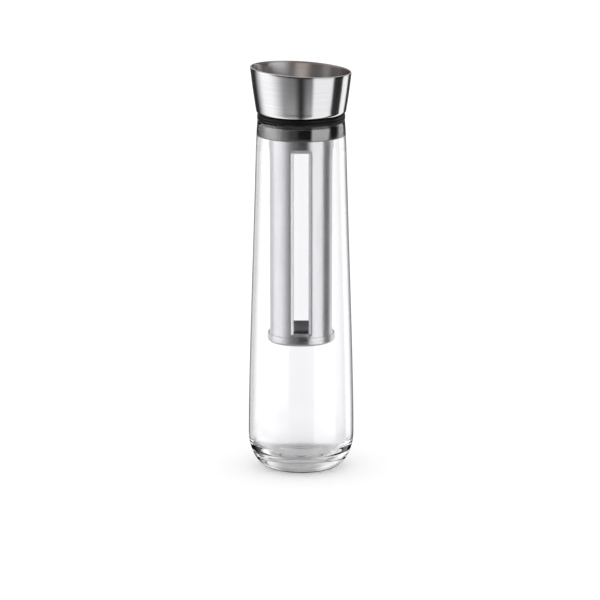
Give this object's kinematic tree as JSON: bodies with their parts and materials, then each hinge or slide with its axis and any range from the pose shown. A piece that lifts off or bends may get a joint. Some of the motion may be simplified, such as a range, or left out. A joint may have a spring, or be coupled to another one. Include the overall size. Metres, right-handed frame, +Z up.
{
  "type": "fruit infuser pitcher",
  "caption": "Tall tapered glass carafe with a flared steel pouring collar on a black stopper and a slotted steel infuser tube hanging inside.",
  "frame": {"origin": "centre of the face that the carafe stands on", "axes": "+Z up along the axis of the carafe; +X towards the low side of the slanted rim; the picture looks along +Y"},
  "size_m": [0.0822, 0.0822, 0.3174],
  "materials": {
    "clear_glass": "clear, fire polished",
    "brushed_steel": "fine grain running round the collar",
    "satin_steel": "satin, drawn along the tube",
    "bright_steel": "ground bright",
    "black_plastic": "fine satin moulding",
    "black_silicone": "smooth, half gloss"
  },
  "bodies": {
    "carafe": {"carafe_glass": "clear_glass"},
    "pouring_head": {"pour_collar": "brushed_steel", "stopper_core": "black_plastic", "rim_seal": "black_silicone", "neck_seal": "black_silicone", "strainer": "satin_steel", "flap_pin": "bright_steel"},
    "flap": {"flap_disc": "satin_steel", "flap_carrier": "black_plastic", "flap_weight": "bright_steel"},
    "infuser": {"infuser_tube": "satin_steel", "infuser_foot": "satin_steel", "infuser_ring": "black_plastic", "infuser_oring": "black_silicone"}
  },
  "joints": [
    {"name": "head_lift", "type": "slide", "parent": "carafe", "child": "pouring_head", "axis": [0, 0, 1], "range_m": [0, 0.19]},
    {"name": "flap_swing", "type": "hinge", "parent": "pouring_head", "child": "flap", "pos_m": [-0.003, 0, 0.2924], "axis": [0, -1, 0], "range_deg": [0, 60]},
    {"name": "infuser_pull", "type": "slide", "parent": "pouring_head", "child": "infuser", "axis": [0, 0, -1], "range_m": [0, 0.018]}
  ]
}
